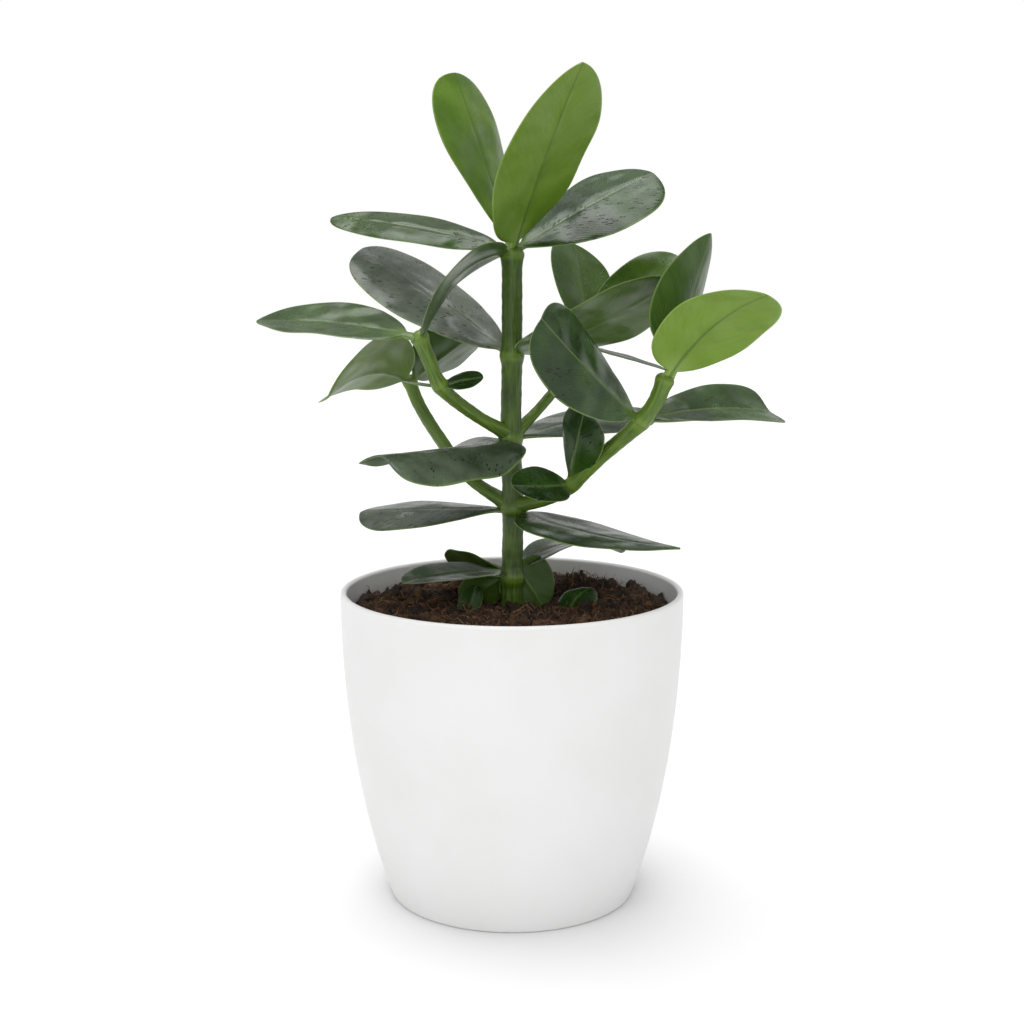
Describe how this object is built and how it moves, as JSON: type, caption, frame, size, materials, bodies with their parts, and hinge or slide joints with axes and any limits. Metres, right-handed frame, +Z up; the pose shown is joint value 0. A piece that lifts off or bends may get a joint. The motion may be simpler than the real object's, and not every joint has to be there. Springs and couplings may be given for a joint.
{
  "type": "potted clusia plant",
  "caption": "Young clusia with thick paddle-shaped leaves on a branching green stem, growing in a round tapered white plastic pot.",
  "frame": {"origin": "centre of the pot's flat underside, on the surface that it stands on", "axes": "+Z up along the main stem, +X to the right and -Y to the front, where the largest young leaf leans"},
  "size_m": [0.2396, 0.1621, 0.3822],
  "materials": {
    "pot": "satin",
    "potting_mix": "matte",
    "stem": "satin",
    "leaf": "satin",
    "young_leaf": "satin"
  },
  "bodies": {
    "root": {"pot": "pot", "potting_mix": "potting_mix", "main_stem": "stem", "branch_low_left": "stem", "branch_low_right": "stem", "branch_mid_left": "stem", "branch_mid_right": "stem", "leaf_crown_front": "young_leaf", "leaf_crown_back": "leaf", "leaf_top_left": "leaf", "leaf_top_right": "leaf", "leaf_top_curled": "leaf", "leaf_upper_left": "leaf", "leaf_upper_right": "leaf", "leaf_mid_left": "leaf", "leaf_mid_right": "leaf", "leaf_mid_back": "leaf", "leaf_low_left": "leaf", "leaf_low_right": "leaf", "leaf_foot_left": "leaf", "leaf_foot_right": "leaf", "leaf_foot_back": "leaf", "leaf_foot_hanging_right": "leaf", "leaf_foot_hanging_left": "leaf", "leaf_soil_left": "leaf", "leaf_soil_right": "leaf", "leaf_low_branch_left": "leaf", "leaf_low_branch_right": "leaf", "leaf_mid_branch_end": "leaf", "leaf_mid_branch_right": "leaf", "leaf_mid_branch_left": "leaf", "leaf_right_oval": "leaf", "leaf_right_inward": "leaf", "leaf_right_inner": "leaf", "leaf_right_outer": "leaf", "leaf_right_bright": "young_leaf", "leaf_right_upright": "leaf", "leaf_back_tall": "young_leaf", "leaf_back_wide": "young_leaf", "leaf_back_thin": "leaf"}
  },
  "joints": []
}
